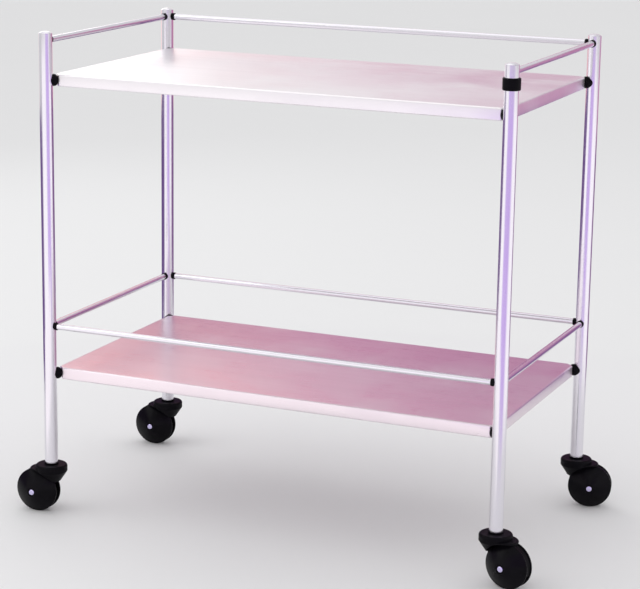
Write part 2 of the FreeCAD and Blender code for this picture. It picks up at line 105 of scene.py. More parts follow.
POST_RADIUS = size_of("front_left_post", "x") / 2
RAIL_RADIUS = size_of("lower_front_rail", "z") / 2
FERRULE_RADIUS = size_of("lower_rail_ferrules", "z") / 2
SPACER_RADIUS = size_of("lower_shelf_spacers", "z") / 2
SHELF_LENGTH = size_of("upper_shelf", "x")
SHELF_DEPTH = size_of("upper_shelf", "y")
SKIRT_HEIGHT = size_of("upper_shelf", "z")
POST_SPACING = np.abs(post_axis("front_left") - post_axis("back_right"))


# Settings that a user would change

class TubeSettings(bpy.types.PropertyGroup):
    """Sizes of the post tubes and the guard rails."""

    wall: bpy.props.FloatProperty(
        name="Post wall", description="Wall thickness of the post tubes",
        default=1.2 * MM, unit="LENGTH")
    rail_wall: bpy.props.FloatProperty(
        name="Rail wall", description="Wall thickness of the guard rails",
        default=1.0 * MM, unit="LENGTH")
    segments: bpy.props.IntProperty(
        name="Segments", description="Faces round each tube", default=96, min=24)


class ShelfSettings(bpy.types.PropertyGroup):
    """Sizes of the folded sheet shelves."""

    sheet: bpy.props.FloatProperty(
        name="Sheet", description="Thickness of the steel sheet",
        default=1.2 * MM, unit="LENGTH")
    bend: bpy.props.FloatProperty(
        name="Bend radius", description="Outer radius of the bend between the top and the skirt",
        default=3.0 * MM, unit="LENGTH")
    lip: bpy.props.FloatProperty(
        name="Return lip", description="Width of the lip turned in under the skirt",
        default=12.0 * MM, unit="LENGTH")
    corner_reach: bpy.props.FloatProperty(
        name="Corner reach", description="Distance from a post's axis to the shelf's corner flange",
        default=19.1 * MM, unit="LENGTH")
    ripple: bpy.props.FloatProperty(
        name="Ripple", description="How far the sheet departs from flat",
        default=0.12 * MM, unit="LENGTH")


class FittingSettings(bpy.types.PropertyGroup):
    """Sizes of the ferrules, spacers and screws."""

    ferrule_length: bpy.props.FloatProperty(
        name="Ferrule length", description="How far a ferrule stands out of the post",
        default=5.0 * MM, unit="LENGTH")
    spacer_round: bpy.props.FloatProperty(
        name="Spacer rounding", description="Radius at the shelf end of the corner spacers",
        default=6.0 * MM, unit="LENGTH")
    edge_round: bpy.props.FloatProperty(
        name="Edge rounding", description="Radius on the edges of the moulded fittings",
        default=0.8 * MM, unit="LENGTH")


class CastorSettings(bpy.types.PropertyGroup):
    """Sizes of the castor wheels."""

    inner_face: bpy.props.FloatProperty(
        name="Inner face", description="Distance of a wheel's inner face from the castor's middle",
        default=5.4 * MM, unit="LENGTH")
    outer_face: bpy.props.FloatProperty(
        name="Outer face", description="Distance of a wheel's outer face from the castor's middle",
        default=26.0 * MM, unit="LENGTH")
    tread: bpy.props.FloatProperty(
        name="Tread", description="Width of the flat tread", default=2.8 * MM, unit="LENGTH")
    shoulder_drop: bpy.props.FloatProperty(
        name="Shoulder drop", description="How far the dome falls below the tread at its shoulder",
        default=10.0 * MM, unit="LENGTH")
    shoulder_reach: bpy.props.FloatProperty(
        name="Shoulder reach", description="How far the shoulder is out from the tread",
        default=7.5 * MM, unit="LENGTH")
    hub: bpy.props.FloatProperty(
        name="Hub radius", description="Radius of the hub and its recess", default=8.0 * MM, unit="LENGTH")
    bore: bpy.props.FloatProperty(
        name="Bore radius", description="Radius of the hole for the axle", default=4.05 * MM, unit="LENGTH")
    shell: bpy.props.FloatProperty(
        name="Shell", description="Wall thickness of the wheel", default=3.0 * MM, unit="LENGTH")
    ribs: bpy.props.IntProperty(name="Ribs", description="Ribs inside each wheel", default=6, min=2)


class FinishSettings(bpy.types.PropertyGroup):
    """Colours of the finishes; the tube and shelf steel colours carry a painted reflection tint."""

    # Painted reflection: the slight lilac of the tube steel stands in for coloured reflections in the polished
    # tubes, not a colour of the steel itself.
    steel: bpy.props.FloatVectorProperty(
        name="Tube steel", description="Colour of the polished tubes",
        default=(0.80, 0.78, 0.83), subtype="COLOR", min=0, max=1)
    # Painted reflection: the pink-mauve of both shelf sheets stands in for coloured reflections, not a colour of
    # the steel; the lower sheet has it darker and stronger.
    upper_shelf: bpy.props.FloatVectorProperty(
        name="Upper shelf", description="Colour of the upper shelf sheet",
        default=(0.88, 0.85, 0.87), subtype="COLOR", min=0, max=1)
    lower_shelf: bpy.props.FloatVectorProperty(
        name="Lower shelf", description="Colour of the lower shelf sheet",
        default=(0.84, 0.76, 0.80), subtype="COLOR", min=0, max=1)
    plastic: bpy.props.FloatVectorProperty(
        name="Black plastic", description="Colour of the moulded fittings and castors",
        default=(0.0026, 0.0022, 0.0034), subtype="COLOR", min=0, max=1)


class StageSettings(bpy.types.PropertyGroup):
    """Camera, lights and floor."""

    floor: bpy.props.FloatVectorProperty(
        name="Floor", description="Colour of the floor",
        default=(0.82, 0.82, 0.82), subtype="COLOR", min=0, max=1)
    lens: bpy.props.FloatProperty(
        name="Lens", description="Focal length in millimetres on a 36 mm sensor", default=121.5)
    camera_place: bpy.props.FloatVectorProperty(
        name="Camera place", description="Where the camera stands",
        default=(1.4098, -3.2682, 1.2252), subtype="TRANSLATION")
    camera_turn: bpy.props.FloatProperty(
        name="Camera turn", description="Turn of the camera from straight ahead, to the left",
        default=math.radians(23.31), subtype="ANGLE")
    camera_dip: bpy.props.FloatProperty(
        name="Camera dip", description="How far the camera looks down",
        default=math.radians(13.37), subtype="ANGLE")
    camera_roll: bpy.props.FloatProperty(
        name="Camera roll", description="Tilt of the camera about its line of sight",
        default=math.radians(0.87), subtype="ANGLE")
    fill: bpy.props.FloatProperty(
        name="Fill", description="Strength of the even light from all round", default=0.90)
    screen_strength: bpy.props.FloatProperty(
        name="Screen strength", description="Brightness of the reflecting screens, 1 for their tones as written",
        default=1.2)


class TrolleySettings(bpy.types.PropertyGroup):
    """All settings of the trolley."""

    tubes: bpy.props.PointerProperty(type=TubeSettings)
    shelves: bpy.props.PointerProperty(type=ShelfSettings)
    fittings: bpy.props.PointerProperty(type=FittingSettings)
    castors: bpy.props.PointerProperty(type=CastorSettings)
    finish: bpy.props.PointerProperty(type=FinishSettings)
    stage: bpy.props.PointerProperty(type=StageSettings)


# Surfaces

def mesh_piece(name, vertices, faces, sharp_angle=35.0):
    """Object from whole arrays. The signed volume, a sum of triple products, decides which way faces point."""
    corners = vertices[faces[:, :3]]
    volume = np.einsum("ij,ij->i", corners[:, 0], np.cross(corners[:, 1], corners[:, 2])).sum()
    if faces.shape[1] == 4:
        other = vertices[faces[:, [0, 2, 3]]]
        volume += np.einsum("ij,ij->i", other[:, 0], np.cross(other[:, 1], other[:, 2])).sum()
    if volume < 0:
        faces = faces[:, ::-1]
    mesh = bpy.data.meshes.new(name)
    mesh.from_pydata(vertices.tolist(), [], faces.tolist())
    weld = bmesh.new()
    weld.from_mesh(mesh)
    bmesh.ops.remove_doubles(weld, verts=weld.verts, dist=WELD_DISTANCE)
    weld.to_mesh(mesh)
    weld.free()
    mesh.polygons.foreach_set("use_smooth", np.ones(len(mesh.polygons), bool))
    mesh.set_sharp_from_angle(angle=math.radians(sharp_angle))
    piece = bpy.data.objects.new(name, mesh)
    bpy.context.scene.collection.objects.link(piece)
    return piece


def grid_faces(rows, columns, wrap_rows):
    """Quads of a grid whose columns wrap round, and whose rows wrap too if asked."""
    last = rows if wrap_rows else rows - 1
    row, column = np.meshgrid(np.arange(last), np.arange(columns), indexing="ij")
    next_row = (row + 1) % rows
    next_column = (column + 1) % columns
    quads = np.stack([row * columns + column, row * columns + next_column,
                      next_row * columns + next_column, next_row * columns + column], axis=-1)
    return quads.reshape(-1, 4)


def across(axis):
    """Two unit vectors square to an axis, the first level and the second as upright as it can be."""
    axis = np.asarray(axis, float) / np.linalg.norm(axis)
    reference = np.array([0.0, 0.0, 1.0]) if abs(axis[2]) < 0.9 else np.array([0.0, 1.0, 0.0])
    level = np.cross(reference, axis)
    level /= np.linalg.norm(level)
    return axis, level, np.cross(axis, level)


def turned(profile, origin, axis, segments, closed=False, saddle=None):
    """Points and faces of a turned form: each (radius, station) of the profile sweeps a circle about the axis.

    A station given as None lies on a cylinder of radius saddle whose axis passes square through the origin,
    at the root of saddle squared less the level offset squared.
    """
    axis, level, upright = across(axis)
    angle = np.linspace(0, 2 * math.pi, segments, endpoint=False)
    radius = np.array([point[0] for point in profile])[:, None] * np.ones(segments)
    on_saddle = np.array([point[1] is None for point in profile])[:, None]
    station = np.array([0.0 if point[1] is None else point[1] for point in profile])[:, None]
    if saddle is not None:
        curve = np.sqrt(np.maximum(saddle ** 2 - (radius * np.cos(angle)) ** 2, 0))
        station = np.where(on_saddle, curve, station)
    station = station * np.ones(segments)
    points = (np.asarray(origin, float) + station[..., None] * axis
              + (radius * np.cos(angle))[..., None] * level
              + (radius * np.sin(angle))[..., None] * upright)
    return points.reshape(-1, 3), grid_faces(len(profile), segments, closed)


def joined(parts):
    """Several (points, faces) pairs as one."""
    counts = np.cumsum([0] + [len(points) for points, faces in parts])
    points = np.vstack([points for points, faces in parts])
    faces = np.vstack([faces + start for (points, faces), start in zip(parts, counts)])
    return points, faces


def arc(centre, radius, start, end, steps):
    """(radius, station) points on an arc, angles in degrees from the outward direction."""
    angle = np.radians(np.linspace(start, end, steps))
    return [(centre[0] + radius * math.cos(a), centre[1] + radius * math.sin(a)) for a in angle]


def tube_profile(radius, wall, length, lead):
    """Closed section of a tube wall with its outer end corners eased."""
    inner = radius - wall
    return [
        (inner, 0.0), (radius - lead, 0.0), (radius, lead), (radius, length * 0.25),
        (radius, length * 0.5), (radius, length * 0.75), (radius, length - lead),
        (radius - lead, length), (inner, length), (inner, length * 0.5),
    ]


# Materials

def new_group(name, inputs, outputs):
    """Empty shader node group with named sockets."""
    tree = bpy.data.node_groups.new(name, "ShaderNodeTree")
    for label, kind, value in inputs:
        socket = tree.interface.new_socket(label, in_out="INPUT", socket_type=kind)
        if value is not None:
            socket.default_value = value
    for label, kind in outputs:
        tree.interface.new_socket(label, in_out="OUTPUT", socket_type=kind)
    entry = tree.nodes.new("NodeGroupInput")
    leave = tree.nodes.new("NodeGroupOutput")
    return tree, entry, leave


def noise(tree, vector, scale, detail=3.0, roughness=0.5):
    """Noise texture fed by a vector socket."""
    node = tree.nodes.new("ShaderNodeTexNoise")
    node.inputs["Scale"].default_value = scale
    node.inputs["Detail"].default_value = detail
    node.inputs["Roughness"].default_value = roughness
    tree.links.new(vector, node.inputs["Vector"])
    return node


def spread(tree, value, low, high, out_low, out_high):
    """Map Range from one span to another, clamped."""
    node = tree.nodes.new("ShaderNodeMapRange")
    node.inputs["From Min"].default_value = low
    node.inputs["From Max"].default_value = high
    node.inputs["To Min"].default_value = out_low
    node.inputs["To Max"].default_value = out_high
    tree.links.new(value, node.inputs["Value"])
    return node.outputs["Result"]


def maths(tree, operation, first, second):
    """Math node, either input a socket or a number."""
    node = tree.nodes.new("ShaderNodeMath")
    node.operation = operation
    for index, value in enumerate((first, second)):
        if isinstance(value, (int, float)):
            node.inputs[index].default_value = value
        else:
            tree.links.new(value, node.inputs[index])
    return node.outputs[0]


def drawn_grain_group():
    """Fine streaks along the direction the metal was polished, with faint broad bands."""
    tree, entry, leave = new_group(
        "Drawn grain",
        [("Vector", "NodeSocketVector", None), ("Stretch", "NodeSocketVector", (1.0, 1.0, 1.0))],
        [("Streaks", "NodeSocketFloat"), ("Bands", "NodeSocketFloat")])
    scaled = tree.nodes.new("ShaderNodeVectorMath")
    scaled.operation = "MULTIPLY"
    tree.links.new(entry.outputs["Vector"], scaled.inputs[0])
    tree.links.new(entry.outputs["Stretch"], scaled.inputs[1])
    fine = noise(tree, scaled.outputs[0], 900.0, 4.0, 0.65)
    broad = noise(tree, scaled.outputs[0], 60.0, 2.0, 0.5)
    tree.links.new(fine.outputs["Fac"], leave.inputs["Streaks"])
    tree.links.new(broad.outputs["Fac"], leave.inputs["Bands"])
    return tree


def handling_group():
    """Smudges left by hands and cloths, and a few hairline scratches."""
    tree, entry, leave = new_group(
        "Handling marks",
        [("Vector", "NodeSocketVector", None)],
        [("Smudge", "NodeSocketFloat"), ("Scratch", "NodeSocketFloat")])
    soft = noise(tree, entry.outputs["Vector"], 9.0, 5.0, 0.55)
    smudge = spread(tree, soft.outputs["Fac"], 0.45, 0.72, 0.0, 1.0)
    bent = noise(tree, entry.outputs["Vector"], 14.0, 1.0, 0.5)
    mix = tree.nodes.new("ShaderNodeVectorMath")
    mix.operation = "MULTIPLY_ADD"
    mix.inputs[1].default_value = (0.06, 0.06, 0.06)
    tree.links.new(bent.outputs["Color"], mix.inputs[0])
    tree.links.new(entry.outputs["Vector"], mix.inputs[2])
    cells = tree.nodes.new("ShaderNodeTexVoronoi")
    cells.feature = "DISTANCE_TO_EDGE"
    cells.inputs["Scale"].default_value = 28.0
    tree.links.new(mix.outputs[0], cells.inputs["Vector"])
    line = spread(tree, cells.outputs["Distance"], 0.0, 0.003, 1.0, 0.0)
    gate = noise(tree, entry.outputs["Vector"], 23.0, 0.0, 0.5)
    open_gate = spread(tree, gate.outputs["Fac"], 0.60, 0.64, 0.0, 0.6)
    tree.links.new(smudge, leave.inputs["Smudge"])
    tree.links.new(maths(tree, "MULTIPLY", line, open_gate), leave.inputs["Scratch"])
    return tree


def moulded_group():
    """Fine spark texture and slow flow marks of moulded plastic."""
    tree, entry, leave = new_group(
        "Moulded grain",
        [("Vector", "NodeSocketVector", None)],
        [("Spark", "NodeSocketFloat"), ("Flow", "NodeSocketFloat")])
    spark = noise(tree, entry.outputs["Vector"], 1600.0, 2.0, 0.6)
    flow = noise(tree, entry.outputs["Vector"], 35.0, 3.0, 0.5)
    tree.links.new(spark.outputs["Fac"], leave.inputs["Spark"])
    tree.links.new(flow.outputs["Fac"], leave.inputs["Flow"])
    return tree


def floor_dust_group():
    """Dust that thins out with height above the floor, broken up by noise."""
    tree, entry, leave = new_group(
        "Floor dust",
        [("Vector", "NodeSocketVector", None), ("Height", "NodeSocketFloat", 0.05)],
        [("Dust", "NodeSocketFloat")])
    parts = tree.nodes.new("ShaderNodeSeparateXYZ")
    tree.links.new(entry.outputs["Vector"], parts.inputs[0])
    share = maths(tree, "DIVIDE", parts.outputs["Z"], entry.outputs["Height"])
    fade = spread(tree, share, 0.0, 1.0, 1.0, 0.0)
    patches = noise(tree, entry.outputs["Vector"], 120.0, 4.0, 0.6)
    broken = spread(tree, patches.outputs["Fac"], 0.35, 0.7, 0.1, 1.0)
    tree.links.new(maths(tree, "MULTIPLY", fade, broken), leave.inputs["Dust"])
    return tree


GROUPS = {}


def placed_group(tree, name):
    """A shared node group placed in a material, fed with object coordinates."""
    node = tree.nodes.new("ShaderNodeGroup")
    node.node_tree = GROUPS[name]
    place = tree.nodes.new("ShaderNodeTexCoord")
    tree.links.new(place.outputs["Object"], node.inputs["Vector"])
    return node


def colour_mix(tree, factor, first, second):
    """Colour between two colours by a factor socket."""
    node = tree.nodes.new("ShaderNodeMix")
    node.data_type = "RGBA"
    tree.links.new(factor, node.inputs[0])
    for socket, value in ((node.inputs[6], first), (node.inputs[7], second)):
        if hasattr(value, "is_output"):
            tree.links.new(value, socket)
        else:
            socket.default_value = (*value, 1.0)
    return node.outputs[2]


def bump(tree, shader, height, strength, distance):
    """Bump of a height socket into the shader's normal."""
    node = tree.nodes.new("ShaderNodeBump")
    node.inputs["Strength"].default_value = strength
    node.inputs["Distance"].default_value = distance
    tree.links.new(height, node.inputs["Height"])
    tree.links.new(node.outputs["Normal"], shader.inputs["Normal"])


def blank_material(name):
    """New node material with its shader."""
    material = bpy.data.materials.new(name)
    material.use_nodes = True
    return material, material.node_tree, material.node_tree.nodes["Principled BSDF"]


def steel_material(name, colour, rough, stretch, grain_depth):
    """Stainless steel with drawn streaks, smudges and hairline scratches."""
    material, tree, shader = blank_material(name)
    shader.inputs["Metallic"].default_value = 1.0
    grain = placed_group(tree, "Drawn grain")
    grain.inputs["Stretch"].default_value = stretch
    marks = placed_group(tree, "Handling marks")
    darker = tuple(channel * 0.965 for channel in colour)
    banded = colour_mix(tree, spread(tree, grain.outputs["Bands"], 0.3, 0.7, 0.0, 1.0), darker, colour)
    dull = tuple(channel * 0.8 for channel in colour)
    tree.links.new(colour_mix(tree, marks.outputs["Scratch"], banded, dull), shader.inputs["Base Color"])
    streak = spread(tree, grain.outputs["Streaks"], 0.25, 0.75, rough - 0.05, rough + 0.07)
    smear = maths(tree, "MULTIPLY", marks.outputs["Smudge"], 0.10)
    tree.links.new(maths(tree, "ADD", streak, smear), shader.inputs["Roughness"])
    bump(tree, shader, grain.outputs["Streaks"], 0.35, grain_depth)
    return material


def plastic_material(name, colour, rough, dust_height, gloss_coat=0.0):
    """Black moulded plastic with a fine texture, flow marks and a little dust near the floor."""
    material, tree, shader = blank_material(name)
    grain = placed_group(tree, "Moulded grain")
    dust = placed_group(tree, "Floor dust")
    dust.inputs["Height"].default_value = dust_height
    lighter = tuple(min(channel * 1.6 + 0.001, 1.0) for channel in colour)
    shader.inputs["Specular IOR Level"].default_value = 0.05
    mixed = colour_mix(tree, spread(tree, grain.outputs["Flow"], 0.3, 0.7, 0.0, 1.0), colour, lighter)
    thin = maths(tree, "MULTIPLY", dust.outputs["Dust"], 0.03)
    tree.links.new(colour_mix(tree, thin, mixed, (0.20, 0.19, 0.18)), shader.inputs["Base Color"])
    texture = spread(tree, grain.outputs["Flow"], 0.2, 0.8, rough - 0.04, rough + 0.08)
    tree.links.new(maths(tree, "ADD", texture, maths(tree, "MULTIPLY", dust.outputs["Dust"], 0.25)),
                   shader.inputs["Roughness"])
    shader.inputs["Coat Weight"].default_value = gloss_coat
    shader.inputs["Coat Roughness"].default_value = 0.12
    bump(tree, shader, grain.outputs["Spark"], 0.25, 0.00004)
    return material


MATERIALS = {}


def make_materials(finish):
    """All finishes of the trolley, by a maker's name."""
    GROUPS["Drawn grain"] = drawn_grain_group()
    GROUPS["Handling marks"] = handling_group()
    GROUPS["Moulded grain"] = moulded_group()
    GROUPS["Floor dust"] = floor_dust_group()
    steel = tuple(finish.steel)
    along_z = (1.0, 1.0, 0.02)
    along_x = (0.02, 1.0, 1.0)
    along_y = (1.0, 0.02, 1.0)
    # The tube and shelf steels take their painted reflection tint from the finish colours.
    MATERIALS["post steel"] = steel_material("polished_post_steel_reflection_tint", steel, 0.16, along_z, 0.00001)
    MATERIALS["rail steel x"] = steel_material("polished_rail_steel_long_reflection_tint", steel, 0.16, along_x, 0.00001)
    MATERIALS["rail steel y"] = steel_material("polished_rail_steel_short_reflection_tint", steel, 0.16, along_y, 0.00001)
    MATERIALS["upper shelf"] = steel_material(
        "satin_upper_shelf_steel_reflection_tint", tuple(finish.upper_shelf), 0.31, along_x, 0.00002)
    MATERIALS["lower shelf"] = steel_material(
        "satin_lower_shelf_steel_reflection_tint", tuple(finish.lower_shelf), 0.29, along_x, 0.00002)
    MATERIALS["mill steel"] = steel_material("mill_finish_steel", (0.62, 0.61, 0.63), 0.42, along_x, 0.00002)
    MATERIALS["fixing steel"] = steel_material("bright_fixing_steel", (0.68, 0.67, 0.68), 0.28, (1, 1, 1), 0.00001)
    # Painted reflection: the blue-violet of the axle and stem steel stands in for the bluish reflection on the
    # bright axle caps.
    MATERIALS["axle steel"] = steel_material("bright_axle_steel_reflection_tint", (0.66, 0.61, 0.88), 0.14, (1, 1, 1), 0.000005)
    plastic = tuple(finish.plastic)
    MATERIALS["fitting plastic"] = plastic_material("black_fitting_plastic", plastic, 0.42, 0.0001)
    MATERIALS["housing plastic"] = plastic_material("black_castor_housing_plastic", plastic, 0.38, 0.07)
    MATERIALS["wheel plastic"] = plastic_material("black_wheel_plastic", plastic, 0.28, 0.03, 0.03)


def dress(piece, material):
    """One material all over a piece, in every slot it has."""
    slots = piece.data.materials
    if len(slots) == 0:
        slots.append(MATERIALS[material])
        return
    for index in range(len(slots)):
        slots[index] = MATERIALS[material]


# Posts and rails

POST_EDGE = 0.4 * MM
RAIL_EDGE = 0.3 * MM


def post_piece(corner, tubes):
    """Post tube: a closed wall section turned about the post's axis, replacing the CAD post."""
    low, high = node_box(corner + "_post")
    profile = tube_profile(POST_RADIUS, tubes.wall, high[2] - low[2], POST_EDGE)
    origin = (*post_axis(corner), low[2])
    points, faces = turned(profile, origin, (0, 0, 1), tubes.segments, closed=True)
    piece = mesh_piece(corner + "_post_tube", points, faces)
    dress(piece, "post steel")
    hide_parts(corner + "_post")
    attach(piece, "frame")


def rail_piece(level, side, tubes):
    """Guard rail: a thin closed wall section turned about the line between two posts."""
    node = level + "_" + side + "_rail"
    low, high = node_box(node)
    runs_along = int(np.argmax(high - low))
    middle = (low + high) / 2
    origin = middle.copy()
    origin[runs_along] = low[runs_along]
    axis = np.eye(3)[runs_along]
    profile = tube_profile(RAIL_RADIUS, tubes.rail_wall, (high - low)[runs_along], RAIL_EDGE)
    points, faces = turned(profile, origin, axis, tubes.segments // 2, closed=True)
    piece = mesh_piece(node + "_tube", points, faces)
    dress(piece, "rail steel x" if runs_along == 0 else "rail steel y")
    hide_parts(node)
    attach(piece, "frame")


# Fittings

SEAT_CLEARANCE = 0.02 * MM
FLANK_LAND = 0.2 * MM


def ferrule_form(origin, way, fittings):
    """Rail ferrule: a collar turned about the rail, saddled to the post and rounded over at its mouth."""
    mouth = POST_RADIUS + fittings.ferrule_length
    ease = fittings.edge_round
    collar = FERRULE_RADIUS
    bore = RAIL_RADIUS
    profile = [(0.0, None), (collar * 0.6, None), (collar - ease * 0.4, None), (collar, POST_RADIUS + ease * 0.5)]
    profile += [(collar, (POST_RADIUS + mouth) / 2)]
    profile += arc((collar - ease, mouth - ease), ease, 0, 90, 6)
    profile += [(bore + SEAT_CLEARANCE, mouth), (bore + SEAT_CLEARANCE, mouth - ease * 2), (0.0, mouth - ease * 2)]
    return turned(profile, origin, way, 40, saddle=POST_RADIUS)


def ferrules_piece(level, fittings):
    """All rail ferrules of one level as one piece, replacing the CAD group."""
    height = rail_height(level)
    forms = []
    for side in RAIL_SIDES[level]:
        first, second = RAIL_ENDS[side]
        start, end = post_axis(first), post_axis(second)
        way = np.array([*(end - start), 0.0])
        way /= np.linalg.norm(way)
        forms.append(ferrule_form((*start, height), way, fittings))
        forms.append(ferrule_form((*end, height), -way, fittings))
    points, faces = joined(forms)
    piece = mesh_piece(level + "_rail_ferrule_set", points, faces)
    dress(piece, "fitting plastic")
    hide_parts(level + "_rail_ferrules")
    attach(piece, "frame")


def inward(corner):
    """Level unit vector from a post towards the middle of the shelf corner it carries."""
    way = -np.sign(post_axis(corner))
    return np.array([*way, 0.0]) / ROOT_TWO


def spacers_piece(level, shelves, fittings):
    """Corner spacers: short collars saddled to the post at one end and flat on the shelf corner at the other."""
    reach = shelves.corner_reach
    ease = fittings.edge_round
    bulge = fittings.spacer_round
    profile = [(0.0, None), (SPACER_RADIUS * 0.5, None), (SPACER_RADIUS - ease * 0.4, None),
               (SPACER_RADIUS, POST_RADIUS + ease * 0.5), (SPACER_RADIUS, reach - bulge - FLANK_LAND)]
    profile += arc((SPACER_RADIUS - bulge, reach - bulge), bulge, 0, 90, 12)
    profile += [(0.0, reach)]
    forms = []
    for corner in CORNERS:
        origin = (*post_axis(corner), spacer_height(level))
        forms.append(turned(profile, origin, inward(corner), 56, saddle=POST_RADIUS))
    points, faces = joined(forms)
    piece = mesh_piece(level + "_shelf_spacer_set", points, faces)
    dress(piece, "fitting plastic")
    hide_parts(level + "_shelf_spacers")
    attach(piece, "frame")


# Castors

RIM_EDGE = 0.5 * MM
PARTING_GROOVE = 0.35 * MM
HUB_EDGE = 0.25 * MM
HUB_RECESS = 1.2 * MM
WALL_SHIFT_SHARE = 0.7
RIB_SETBACK = 1.2 * MM
RIB_HALF_WIDTH = 0.8 * MM
WHEEL_SEGMENTS = 96
WHEEL_SHARP_ANGLE = 28.0


def wheel_joint(corner, which):
    """Centre and axis of a castor wheel, the axis turned to point out of the wheel's domed face."""
    name = corner + "_" + which + "_wheel_spin"
    for joint in frame["record"]["behaviour"]["joints"]:
        if joint["name"] == name:
            centre, axis = np.array(joint["pos_m"]), np.array(joint["axis"], float)
            low, high = node_box(corner + "_castor_" + which + "_wheel")
            faces_out = np.dot((low + high) / 2 - centre, axis) > 0
            return centre, axis if faces_out else -axis
    raise KeyError(name)


def wheel_piece(corner, which, castors):
    """Domed wheel: tread band, parting groove, dome on an arc, hub recess, hub tube and ribs.

    Its closed section is turned about the axle. The dome is the circle through rim, shoulder and hub.
    """
    centre, axis = wheel_joint(corner, which)
    low, high = node_box(corner + "_castor_" + which + "_wheel")
    radius = float(high[2] - low[2]) / 2
    inner, tread, face = castors.inner_face, castors.tread, castors.outer_face
    shoulder = inner + tread
    hub, bore, wall = castors.hub, castors.bore, castors.shell
    dome = circle_through((radius, shoulder), (radius - castors.shoulder_drop, shoulder + castors.shoulder_reach),
                          (hub, face), 40)
    profile = arc((radius - RIM_EDGE, inner + RIM_EDGE), RIM_EDGE, -90, 0, 5)
    profile += [(radius, shoulder - PARTING_GROOVE * 2), (radius - PARTING_GROOVE, shoulder - PARTING_GROOVE),
                (radius, shoulder)]
    profile += dome[1:-1]
    profile += [(hub + HUB_EDGE, face), (hub, face - HUB_EDGE), (hub, face - HUB_RECESS),
                (bore, face - HUB_RECESS), (bore, inner), (hub, inner), (hub, face - wall)]
    shift = wall * WALL_SHIFT_SHARE
    inside = circle_through((hub, face - wall), (radius - castors.shoulder_drop - shift,
                            shoulder + castors.shoulder_reach - shift), (radius - wall, shoulder), 16)
    profile += inside[1:] + [(radius - wall, inner)]
    forms = [turned(profile, centre, axis, WHEEL_SEGMENTS, closed=True)]
    for number in range(castors.ribs):
        forms.append(rib_form(centre, axis, number * 2 * math.pi / castors.ribs, hub, radius - wall, inner, tread))
    points, faces = joined(forms)
    piece = mesh_piece(corner + "_" + which + "_wheel_shell", points, faces, WHEEL_SHARP_ANGLE)
    dress(piece, "wheel plastic")
    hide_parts(corner + "_castor_" + which + "_wheel")
    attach(piece, corner + "_" + which + "_wheel")


def circle_through(first, middle, last, steps):
    """Points on the arc from first to last through middle: the centre is where the chords' bisectors cross."""
    a, b, c = (np.array(point, float) for point in (first, middle, last))
    sides = 2 * np.array([b - a, c - a])
    centre = np.linalg.solve(sides, np.array([b @ b - a @ a, c @ c - a @ a]))
    radius = np.linalg.norm(a - centre)
    start, way, end = (math.atan2(*(point - centre)[::-1]) for point in (a, b, c))
    way = (way - start) % (2 * math.pi)
    end = (end - start) % (2 * math.pi)
    if way > end:
        end -= 2 * math.pi
    angle = start + np.linspace(0, end, steps)
    return list(zip(centre[0] + radius * np.cos(angle), centre[1] + radius * np.sin(angle)))


def rib_form(centre, axis, angle, near, far, inner, depth):
    """Flat rib inside a wheel: a box from hub to rim, turned about the axle."""
    axis, level, upright = across(axis)
    out = math.cos(angle) * level + math.sin(angle) * upright
    aside = np.cross(axis, out)
    radial = np.array([near, far])
    station = np.array([inner + RIB_SETBACK, inner + depth])
    half = np.array([-RIB_HALF_WIDTH, RIB_HALF_WIDTH])
    corners = [centre + r * out + t * axis + w * aside for r in radial for t in station for w in half]
    faces = np.array([(0, 1, 3, 2), (4, 6, 7, 5), (0, 4, 5, 1), (2, 3, 7, 6), (0, 2, 6, 4), (1, 5, 7, 3)])
    return np.array(corners), faces


# Shelves

CORNER_ROUND = 2.4 * MM
LEAST_CORNER_ROUND = 0.5 * MM
EDGE_CORNER_ROUND = 1.2 * MM
SHELF_SHARP_ANGLE = 50.0
LOWER_RIPPLE_PHASE = 1.9


def shelf_loop(offset, corner_radius, reach, side_steps=14, corner_steps=5):
    """Plan outline of a shelf as points: eight straight sides, each pair joined by a small arc.

    Side i is the line at distance d_i along the unit normal at i times 45 degrees. An arc's centre is where the
    two neighbouring lines, moved in by the corner radius, cross.
    """
    half_x = SHELF_LENGTH / 2
    half_y = SHELF_DEPTH / 2
    diagonal = (POST_SPACING[0] + POST_SPACING[1]) / 2 / ROOT_TWO - reach
    distance = np.array([half_x, diagonal, half_y, diagonal] * 2) - offset - corner_radius
    angle = np.arange(8) * math.pi / 4
    normal = np.stack([np.cos(angle), np.sin(angle)], axis=1)
    following = np.roll(normal, -1, axis=0)
    next_distance = np.roll(distance, -1)
    cross = normal[:, 0] * following[:, 1] - normal[:, 1] * following[:, 0]
    centre = np.stack([(distance * following[:, 1] - next_distance * normal[:, 1]) / cross,
                       (next_distance * normal[:, 0] - distance * following[:, 0]) / cross], axis=1)
    sweep = angle[:, None] + np.linspace(0, math.pi / 4, corner_steps)[None, :]
    arcs = centre[:, None, :] + corner_radius * np.stack([np.cos(sweep), np.sin(sweep)], axis=-1)
    share = np.linspace(0, 1, side_steps + 2)[1:-1]
    ends = np.roll(arcs[:, 0, :], -1, axis=0)
    sides = arcs[:, -1, None, :] * (1 - share[None, :, None]) + ends[:, None, :] * share[None, :, None]
    return np.concatenate([arcs, sides], axis=1).reshape(-1, 2)


def ripple_height(points, depth, phase):
    """Slow departure of the sheet from flat: a sum of three long sine waves, none at the edges."""
    x, y = points[..., 0], points[..., 1]
    waves = (np.sin(7.3 * x + 3.1 * y + phase) + 0.7 * np.sin(11.9 * x - 8.7 * y + 2.0 * phase)
             + 0.5 * np.sin(19.0 * y + 4.0 * x + 0.7 * phase))
    hold = (1 - (2 * x / SHELF_LENGTH) ** 4) * (1 - (2 * y / SHELF_DEPTH) ** 4)
    return depth * waves * np.clip(hold, 0, 1)


